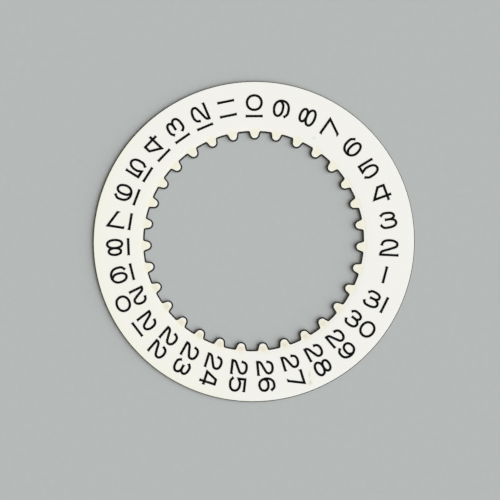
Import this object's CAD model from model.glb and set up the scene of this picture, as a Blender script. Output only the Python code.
import math

import bmesh
import bpy
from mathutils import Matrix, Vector


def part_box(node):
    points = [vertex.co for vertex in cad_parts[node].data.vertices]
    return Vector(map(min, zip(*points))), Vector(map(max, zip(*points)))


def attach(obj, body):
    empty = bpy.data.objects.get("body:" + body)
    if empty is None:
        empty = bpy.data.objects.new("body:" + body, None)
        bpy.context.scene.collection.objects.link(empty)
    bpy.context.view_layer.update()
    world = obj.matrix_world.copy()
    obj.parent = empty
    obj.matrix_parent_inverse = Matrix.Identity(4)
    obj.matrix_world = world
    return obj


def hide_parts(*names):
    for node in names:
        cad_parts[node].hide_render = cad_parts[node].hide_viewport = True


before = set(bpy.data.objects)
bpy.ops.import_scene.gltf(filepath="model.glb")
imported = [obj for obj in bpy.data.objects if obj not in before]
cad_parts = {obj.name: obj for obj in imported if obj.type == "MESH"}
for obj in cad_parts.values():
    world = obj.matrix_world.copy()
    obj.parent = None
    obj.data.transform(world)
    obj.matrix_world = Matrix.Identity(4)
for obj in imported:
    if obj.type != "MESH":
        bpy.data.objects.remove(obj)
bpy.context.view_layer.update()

# The ring is stamped from thin hard sheet in one blow, with its 31 inner teeth, then tumbled until every
# edge is a hair round, and plated. The underside is satin, the upper face is stained dark where the
# lacquer leaves it bare, and the walls are sheared bright above and torn rough below.
mm = 0.001
weld = 0.0001 * mm
wall_limit = 0.3
crisp_angle = math.radians(40)
rim_inside = 10 * mm
longest_flat = 1 * mm
upright_turn = math.radians(0.5)
rim_cuts = 3
sheet_shoulder = ((0.005, 0.009), (0.012, 0.003), (0.01, 0))
sheet_grey = (0.56, 0.55, 0.52, 1)
grain_grey = (0.46, 0.45, 0.42, 1)
grain_share = 0.5
grain_size = 0.02 * mm
grain_run = (0.03, 1, 1)
grain_depth = 0.0006 * mm
grain_rough = (0.3, 0.44)
rubbed_grey = (0.66, 0.65, 0.62, 1)
rubbed_smooth = 0.1
rubbed_inner = (9 * mm, 9.5 * mm)
rubbed_outer = (10.3 * mm, 10.8 * mm)
wear_size = 2.5 * mm
wear_cloud = (0.35, 0.6)
least_wear = 0.4
strip_brown = (0.008, 0.007, 0.006, 1)
stain_brown = (0.022, 0.02, 0.016, 1)
stain_size = 0.03 * mm
strip_gloss = 0.15
strip_rough = (0.45, 0.65)
sheared_bronze = (0.2, 0.19, 0.165, 1)
torn_bronze = (0.1, 0.09, 0.075, 1)
sheared_share = 0.45
drag_share = 0.6
drag_size = 0.02 * mm
drag_run = (1, 1, 0.08)
grit_size = 0.012 * mm
ragged_depth = 0.06 * mm
tear_blend = 0.006 * mm
tear_depth = 0.003 * mm
wall_rough = (0.3, 0.52)


def skin_of(node):
    """A CAD node's loose triangles, merged into closed skins."""
    skin = bmesh.new()
    skin.from_mesh(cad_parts[node].data)
    bmesh.ops.remove_doubles(skin, verts=skin.verts, dist=weld)
    return skin


def is_wall(face):
    """Whether a face stands upright or nearly so."""
    return abs(face.normal.z) < wall_limit


def trued_rim(skin):
    """Makes the rim's wall of upright flats, cuts them finer and brings the new corners out to the
    true circle."""
    level, slanting = [], []
    for edge in skin.edges:
        first, second = (corner.co for corner in edge.verts)
        if min(first.xy.length, second.xy.length) < rim_inside:
            continue
        if abs(first.z - second.z) > weld:
            if abs(first.xy.angle_signed(second.xy)) > upright_turn:
                slanting.append(edge)
        elif edge.calc_length() < longest_flat:
            level.append(edge)
    level_r = {round(corner.co.z / weld): corner.co.xy.length for edge in level for corner in edge.verts}
    bmesh.ops.dissolve_edges(skin, edges=slanting)
    made = bmesh.ops.subdivide_edges(skin, edges=level, cuts=rim_cuts, use_grid_fill=True)
    for corner in (item for item in made["geom_inner"] if isinstance(item, bmesh.types.BMVert)):
        corner.co.xy = corner.co.xy.normalized() * level_r[round(corner.co.z / weld)]


def round_shoulder(skin, level, way, steps):
    """Sets rows of faces in from the edges of the faces at a level, which look up (way 1) or down
    (way -1). Each step is, in millimetres, a row's width and how far its outer edge gives way to the
    inside. Gives back the rows' faces."""
    flat = [face for face in skin.faces if all(abs(v.co.z - level) < weld for v in face.verts)]
    kept = set(flat)
    rows = []
    for width, drop in steps:
        corners = {v for face in flat for v in face.verts}
        border = [v for v in corners if set(v.link_faces) - kept]
        made = bmesh.ops.inset_region(
            skin, faces=flat, thickness=width * mm, use_boundary=True, use_even_offset=True)
        for corner in {v for face in flat for v in face.verts}:
            corner.co.z = level
        for corner in border:
            corner.co.z = level - drop * mm * way
        rows += made["faces"]
    return rows


def object_from(name, skin, *finishes):
    """A skin as an object at the origin, with its finishes."""
    mesh = bpy.data.meshes.new(name)
    skin.to_mesh(mesh)
    skin.free()
    for finish in finishes:
        mesh.materials.append(finish)
    made = bpy.data.objects.new(name, mesh)
    bpy.context.scene.collection.objects.link(made)
    return made


def piece_from(name, skin, *finishes):
    """A finished piece, riding on the disc's one body. Its shoulders are shaded round, and its upright
    walls meet them and each other's corners at a crisp edge."""
    skin.normal_update()
    for face in skin.faces:
        face.smooth = True
    for edge in skin.edges:
        upright = [is_wall(face) for face in edge.link_faces]
        edge.smooth = all(upright) == any(upright) and edge.calc_face_angle(0) < crisp_angle
    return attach(object_from(name, skin, *finishes), "root")


def node_in(tree, kind, sockets=None, **settings):
    """A node with its settings, and with values or other nodes' outputs on its sockets."""
    made = tree.nodes.new(kind)
    for key, value in settings.items():
        setattr(made, key, value)
    for key, value in (sockets or {}).items():
        if isinstance(value, bpy.types.NodeSocket):
            tree.links.new(value, made.inputs[key])
        else:
            made.inputs[key].default_value = value
    return made


def sums(tree, operation, *values):
    """The output of one Math node."""
    return node_in(tree, "ShaderNodeMath", dict(enumerate(values)), operation=operation).outputs[0]


def length_of(tree, vector):
    """How long a vector is."""
    return node_in(tree, "ShaderNodeVectorMath", {0: vector}, operation="LENGTH").outputs["Value"]


def faded(tree, value, start, end, low=0, high=1):
    """A value from start to end, mapped smoothly to low up to high."""
    sockets = {"Value": value, "From Min": start, "From Max": end, "To Min": low, "To Max": high}
    return node_in(tree, "ShaderNodeMapRange", sockets, interpolation_type="SMOOTHSTEP").outputs[0]


def spread(tree, pattern, low, high):
    """A pattern of 0 to 1, stretched evenly to low up to high."""
    return sums(tree, "MULTIPLY_ADD", pattern, high - low, low)


def blended(tree, share, first, second):
    """Two colours mixed by a share. A Mix node keeps its colours on the sockets 6 and 7."""
    made = node_in(tree, "ShaderNodeMix", {"Factor": share}, data_type="RGBA")
    for socket, colour in ((made.inputs[6], first), (made.inputs[7], second)):
        if isinstance(colour, bpy.types.NodeSocket):
            tree.links.new(colour, socket)
        else:
            socket.default_value = colour
    return made.outputs[2]


def noise(tree, where, size, octaves=3):
    """Fine noise whose grains are about size across."""
    sockets = {"Vector": where, "Scale": 1 / size, "Detail": octaves}
    return node_in(tree, "ShaderNodeTexNoise", sockets).outputs[0]


def new_finish(name):
    """An empty procedural finish: its material, node tree, shader and place on the disc."""
    made = bpy.data.materials.new(name)
    made.use_nodes = True
    tree = made.node_tree
    shader = tree.nodes["Principled BSDF"]
    where = tree.nodes.new("ShaderNodeTexCoord").outputs["Object"]
    return made, tree, shader, where


def bumped(tree, shader, height, depth):
    """Relief of a real depth under a finish."""
    bump = node_in(tree, "ShaderNodeBump", {"Height": height, "Distance": depth, "Strength": 1})
    tree.links.new(bump.outputs[0], shader.inputs["Normal"])


def satin_sheet():
    """Plated sheet with its rolling grain, rubbed where the underside rides on its seat."""
    made, tree, shader, where = new_finish("satin_sheet")
    drawn = node_in(tree, "ShaderNodeMapping", {"Vector": where, "Scale": grain_run}).outputs[0]
    grain = noise(tree, drawn, grain_size)
    r = length_of(tree, where)
    ridden = sums(tree, "MULTIPLY", faded(tree, r, *rubbed_inner), faded(tree, r, *rubbed_outer, 1, 0))
    patchy = faded(tree, noise(tree, where, wear_size), *wear_cloud, least_wear, 1)
    worn = sums(tree, "MULTIPLY", ridden, patchy)
    tint = blended(tree, sums(tree, "MULTIPLY", grain, grain_share), sheet_grey, grain_grey)
    tree.links.new(blended(tree, worn, tint, rubbed_grey), shader.inputs["Base Color"])
    shader.inputs["Metallic"].default_value = 1
    satin = spread(tree, grain, *grain_rough)
    tree.links.new(sums(tree, "MULTIPLY_ADD", worn, -rubbed_smooth, satin), shader.inputs["Roughness"])
    bumped(tree, shader, grain, grain_depth)
    return made


def dark_strip():
    """The bare strip of the upper face, stained and dull."""
    made, tree, shader, where = new_finish("dark_strip")
    stain = noise(tree, where, stain_size)
    tree.links.new(blended(tree, stain, strip_brown, stain_brown), shader.inputs["Base Color"])
    shader.inputs["Specular IOR Level"].default_value = strip_gloss
    tree.links.new(spread(tree, stain, *strip_rough), shader.inputs["Roughness"])
    return made


def sheared_wall():
    """A cut edge: the die's upright drag marks, and below a ragged line the torn, gritty part."""
    made, tree, shader, where = new_finish("sheared_wall")
    streaks = node_in(tree, "ShaderNodeMapping", {"Vector": where, "Scale": drag_run}).outputs[0]
    drag = noise(tree, streaks, drag_size)
    grit = noise(tree, where, grit_size)
    height = node_in(tree, "ShaderNodeSeparateXYZ", {0: where}).outputs[2]
    ragged = sums(tree, "MULTIPLY_ADD", drag, ragged_depth, height)
    split = upper_side * (1 - sheared_share) + ragged_depth / 2
    torn = faded(tree, ragged, split - tear_blend, split + tear_blend, 1, 0)
    bright = blended(tree, sums(tree, "MULTIPLY", drag, drag_share), sheared_bronze, torn_bronze)
    tree.links.new(blended(tree, torn, bright, torn_bronze), shader.inputs["Base Color"])
    shader.inputs["Metallic"].default_value = 1
    tree.links.new(spread(tree, torn, *wall_rough), shader.inputs["Roughness"])
    bumped(tree, shader, sums(tree, "ADD", drag, sums(tree, "MULTIPLY", torn, grit)), tear_depth)
    return made


stamped = skin_of("blank")
trued_rim(stamped)
underside, upper_side = (corner.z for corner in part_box("blank"))
upper_skin = [face for face in stamped.faces if face.normal.z > wall_limit]
walls = [face for face in stamped.faces if is_wall(face)]
upper_skin += round_shoulder(stamped, upper_side, 1, sheet_shoulder)
round_shoulder(stamped, underside, -1, sheet_shoulder)
for face in upper_skin:
    face.material_index = 1
for face in walls:
    face.material_index = 2
stamped_ring = piece_from("stamped_ring", stamped, satin_sheet(), dark_strip(), sheared_wall())
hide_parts("blank")

# The ground coat is a film of cream lacquer, sprayed on the whole upper face and stoved. It draws back
# a little from the sheared edges and has a round shoulder there. The white coat's mist covers it between
# the teeth, so it shows cream in a soft patch on each tooth alone, and on some teeth it is rubbed.
teeth = 31
film_shoulder = ((0.004, 0.007), (0.009, 0.002), (0.01, 0))
lacquer_white = (0.888, 0.879, 0.824, 1)
lacquer_cream = (0.876, 0.857, 0.688, 1)
lacquer_gloss = 0.07
lacquer_rough = (0.58, 0.7)
gloss_size = 1.3 * mm
peel_size = 0.16 * mm
peel_depth = 0.0012 * mm
peel_shade = (0.7, 0.69, 0.6, 1)
peel_share = 0.02
patch_radius = 7.37 * mm
patch_reach = (0.12 * mm, 0.6 * mm)
patch_width = 0.85
tip_fade = 2.2
rubbed_cream = (0.8, 0.755, 0.615, 1)
rub_radius = 7.43 * mm
rub_height = (0.06 * mm, 0.26 * mm)
rub_width = (0.1 * mm, 0.26 * mm)
rub_way = math.radians(-84)
rub_arc = (0.25, 0.8)


def ring_place(tree, where):
    """A place's radius from the axis, its angle round it, and its run beside the nearest tooth."""
    flat = node_in(tree, "ShaderNodeMapping", {"Vector": where, "Scale": (1, 1, 0)}).outputs[0]
    place = node_in(tree, "ShaderNodeSeparateXYZ", {0: flat}).outputs
    r = length_of(tree, flat)
    angle = sums(tree, "ARCTAN2", place[1], place[0])
    tooth = sums(tree, "MULTIPLY", angle, teeth / math.tau)
    beside = sums(tree, "SUBTRACT", tooth, sums(tree, "ROUND", tooth))
    across = sums(tree, "MULTIPLY", sums(tree, "MULTIPLY", beside, math.tau / teeth), r)
    return r, angle, across


def cream_patch(tree, r, across):
    """How much of the cream shows: all of it in the middle of a tooth, none past its oval patch. The
    patch fades sooner towards the tooth's tip."""
    out = sums(tree, "SUBTRACT", r, patch_radius)
    along = sums(tree, "MAXIMUM", out, sums(tree, "MULTIPLY", out, -tip_fade))
    wide = sums(tree, "MULTIPLY", across, patch_width)
    off = node_in(tree, "ShaderNodeCombineXYZ", {0: along, 1: wide}).outputs[0]
    return faded(tree, length_of(tree, off), *patch_reach, 1, 0)


def near(tree, value, middle, start, end):
    """How near a value is to a middle: 1 up to start away from it, 0 past end."""
    away = sums(tree, "ABSOLUTE", sums(tree, "SUBTRACT", value, middle))
    return faded(tree, away, start, end, 1, 0)


def on_side(tree, angle, way, start, end):
    """How far a place lies on one side of the disc: 0 up to 1 as the cosine of the angle between it
    and the side's middle goes from start to end."""
    return faded(tree, sums(tree, "COSINE", sums(tree, "SUBTRACT", angle, way)), start, end)


def sprayed(tree, shader, where, colour):
    """Gives a finish its colour, faint orange peel and cloudy gloss, as sprayed lacquer has."""
    peel = noise(tree, where, peel_size, octaves=2)
    cloud = noise(tree, where, gloss_size)
    shaded = blended(tree, sums(tree, "MULTIPLY", peel, peel_share), colour, peel_shade)
    tree.links.new(shaded, shader.inputs["Base Color"])
    shader.inputs["Specular IOR Level"].default_value = lacquer_gloss
    tree.links.new(spread(tree, cloud, *lacquer_rough), shader.inputs["Roughness"])
    bumped(tree, shader, peel, peel_depth)


def ground_lacquer():
    """The ground coat under the mist, cream on the teeth and rubbed on those of one side."""
    made, tree, shader, where = new_finish("ground_lacquer")
    r, angle, across = ring_place(tree, where)
    spot = sums(tree, "MULTIPLY", near(tree, r, rub_radius, *rub_height), near(tree, across, 0, *rub_width))
    rub = sums(tree, "MULTIPLY", spot, on_side(tree, angle, rub_way, *rub_arc))
    cream = blended(tree, rub, lacquer_cream, rubbed_cream)
    sprayed(tree, shader, where, blended(tree, cream_patch(tree, r, across), lacquer_white, cream))
    return made


ground = skin_of("undercoat")
trued_rim(ground)
round_shoulder(ground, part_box("undercoat")[1].z, 1, film_shoulder)
ground_coat = piece_from("ground_coat", ground, ground_lacquer())
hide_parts("undercoat")

# The white coat is sprayed over the ground coat through a mask that covers the teeth. Its inner edge
# is feathered where the mist crept under the mask. It has yellowed on one side, most of all along the
# rim, and a dirty finger has left a few faint marks.
mask_radius = 7.71 * mm
feather = ((0, 0.005), (0.11, 0.003), (0.22, 0.0015), (0.33, 0.0005), (0.44, 0), (0.46, 0))
outer_shoulder = ((0.04, 0), (0.012, 0), (0.004, 0.0015), (0, 0.005))
spin_steps = 360
aged_white = (0.888, 0.884, 0.804, 1)
aged_way = math.radians(-145)
aged_arc = (0.1, 0.8)
aged_band = (10.3 * mm, 11.2 * mm)
aged_share = 0.55
mark_run = math.radians(-75)
mark_core = 0.2
mark_grey = (0.6, 0.6, 0.52, 1)
mark_yellow = (0.888, 0.884, 0.7, 1)
finger_marks = (
    (6.22, -8.07, 0.75, 0.42, mark_yellow, 0.4),
    (6.09, -7.84, 0.38, 0.13, mark_grey, 0.42),
    (6.28, -8.34, 0.27, 0.2, mark_grey, 0.52),
    (2.16, 7.89, 0.16, 0.2, mark_grey, 0.3),
)


def white_lacquer():
    """The white coat, yellowed and marked. Each mark is an oval with its place, half length and half
    width in millimetres, its stain, and how strong it is in its core."""
    made, tree, shader, where = new_finish("white_lacquer")
    r, angle, across = ring_place(tree, where)
    side = on_side(tree, angle, aged_way, *aged_arc)
    edge = faded(tree, r, *aged_band, 0, aged_share)
    cream = sums(tree, "MAXIMUM", cream_patch(tree, r, across), sums(tree, "MULTIPLY", edge, side))
    colour = blended(tree, cream, blended(tree, side, lacquer_white, aged_white), lacquer_cream)
    for x, y, half_length, half_width, stain, strength in finger_marks:
        laid = {"Vector": where, "Location": (x * mm, y * mm, coat_high.z), "Rotation": (0, 0, mark_run),
                "Scale": (half_length * mm, half_width * mm, mm)}
        oval = node_in(tree, "ShaderNodeMapping", laid, vector_type="TEXTURE").outputs[0]
        share = faded(tree, length_of(tree, oval), mark_core, 1, strength, 0)
        colour = blended(tree, share, colour, stain)
    sprayed(tree, shader, where, colour)
    return made


def spun_rank(face):
    """A face's place in the white coat, by the numbers of its first and last corners. The spin makes
    its faces in another order on each run, and they are sorted back by this."""
    numbers = [corner.index for corner in face.verts]
    return min(numbers) * len(white.verts) + max(numbers)


coat_low, coat_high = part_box("face_coat")
outer_radius = max(coat_high.x, coat_high.y, -coat_low.x, -coat_low.y)
outline = [(mask_radius, coat_low.z)]
outline += [(mask_radius + run * mm, coat_high.z - drop * mm) for run, drop in feather]
outline += [(outer_radius - run * mm, coat_high.z - drop * mm) for run, drop in outer_shoulder]
outline += [(outer_radius, coat_low.z)]
white = bmesh.new()
corners = [white.verts.new((x, 0, z)) for x, z in outline]
edges = [white.edges.new(pair) for pair in zip(corners, corners[1:] + corners[:1])]
bmesh.ops.spin(white, geom=corners + edges, cent=(0, 0, 0), axis=(0, 0, 1), dvec=(0, 0, 0),
               angle=math.tau, steps=spin_steps, use_merge=True, use_duplicate=False)
bmesh.ops.recalc_face_normals(white, faces=white.faces)
white.verts.index_update()
white.faces.sort(key=spun_rank)
white_coat = piece_from("white_coat", white, white_lacquer())
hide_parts("face_coat")

# Each date is one print of black ink, laid on the white coat by a soft pad. The ink stands up as a
# thin film with round shoulders, and dries to a dull, slightly cloudy black.
ink_shoulder = ((0.005, 0.007), (0.01, 0.002), (0.01, 0))
ink_black = (0.003, 0.003, 0.0034, 1)
cloud_black = (0.006, 0.006, 0.0065, 1)
cloud_size = 0.3 * mm
ink_gloss = 0.03
ink_rough = (0.4, 0.6)
ink_grain_size = 0.05 * mm
ink_grain_depth = 0.0006 * mm


def pad_ink():
    """Printed ink, thinly clouded and finely grained."""
    made, tree, shader, where = new_finish("pad_ink")
    cloud = noise(tree, where, cloud_size)
    tree.links.new(blended(tree, cloud, ink_black, cloud_black), shader.inputs["Base Color"])
    shader.inputs["Specular IOR Level"].default_value = ink_gloss
    tree.links.new(spread(tree, cloud, *ink_rough), shader.inputs["Roughness"])
    bumped(tree, shader, noise(tree, where, ink_grain_size, octaves=2), ink_grain_depth)
    return made


ink = pad_ink()
for day in range(1, teeth + 1):
    print_skin = skin_of(f"date_{day:02d}")
    round_shoulder(print_skin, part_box(f"date_{day:02d}")[1].z, 1, ink_shoulder)
    printed = piece_from(f"printed_date_{day:02d}", print_skin, ink)
    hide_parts(f"date_{day:02d}")

# The disc lies on a plain pale floor with pale surroundings. One broad soft light comes from the right,
# and an even, weaker and warmer one from all round.
floor_radius = 1.2
floor_sides = 64
floor_grey = (0.445, 0.465, 0.45, 1)
fibre_grey = (0.475, 0.495, 0.48, 1)
fibre_size = 0.4 * mm
floor_gloss = 0.1
floor_rough = 0.9
key_light = 4.16
key_colour = (0.985, 1.01, 1.057)
key_breadth = math.radians(75)
key_azimuth = math.radians(-3)
key_height = math.radians(36)
fill_light = 0.24
fill_colour = (1, 0.93, 0.84, 1)
backdrop_grey = (0.58, 0.595, 0.58, 1)


def floor_paper():
    """Plain dull paper, finely clouded by its fibres."""
    made, tree, shader, where = new_finish("floor_paper")
    fibre = noise(tree, where, fibre_size)
    tree.links.new(blended(tree, fibre, floor_grey, fibre_grey), shader.inputs["Base Color"])
    shader.inputs["Roughness"].default_value = floor_rough
    shader.inputs["Specular IOR Level"].default_value = floor_gloss
    return made


floor_skin = bmesh.new()
bmesh.ops.create_circle(floor_skin, cap_ends=True, radius=floor_radius, segments=floor_sides)
floor = object_from("floor", floor_skin, floor_paper())

sun = bpy.data.lights.new("soft_key", "SUN")
sun.energy = key_light
sun.angle = key_breadth
sun.color = key_colour
key = bpy.data.objects.new("soft_key", sun)
bpy.context.scene.collection.objects.link(key)
towards = Vector((math.cos(key_azimuth) * math.cos(key_height), math.sin(key_azimuth) * math.cos(key_height),
                  math.sin(key_height)))
key.rotation_euler = towards.to_track_quat("Z", "Y").to_euler()

world = bpy.data.worlds.new("soft_fill")
bpy.context.scene.world = world
world.use_nodes = True
sky = world.node_tree
path = sky.nodes.new("ShaderNodeLightPath").outputs
mirrored = sums(sky, "MAXIMUM", path["Is Glossy Ray"], path["Is Transmission Ray"])
seen = sums(sky, "MAXIMUM", path["Is Camera Ray"], mirrored)
backdrop = node_in(sky, "ShaderNodeBackground", {"Color": backdrop_grey, "Strength": 1})
fill = node_in(sky, "ShaderNodeBackground", {"Color": fill_colour, "Strength": fill_light})
chosen = node_in(sky, "ShaderNodeMixShader", {0: seen, 1: fill.outputs[0], 2: backdrop.outputs[0]})
sky.links.new(chosen.outputs[0], sky.nodes["World Output"].inputs["Surface"])

# The camera looks down through a long lens from nearly straight above, standing a little to the right
# of the disc's middle and on its near side.
film_width = 36
lens_length = 198
sight_range = (0.001, 10)
camera_place = (0.016448, -0.015045, 0.186723)
camera_turn = (5.56017, 3.72662, 15.21863)

lens = bpy.data.cameras.new("camera")
lens.sensor_width = film_width
lens.lens = lens_length
lens.clip_start, lens.clip_end = sight_range
camera = bpy.data.objects.new("camera", lens)
camera.location = camera_place
camera.rotation_euler = [math.radians(turn) for turn in camera_turn]
bpy.context.scene.collection.objects.link(camera)
bpy.context.scene.camera = camera
bpy.context.scene.view_settings.view_transform = "Standard"

bpy.context.view_layer.update()
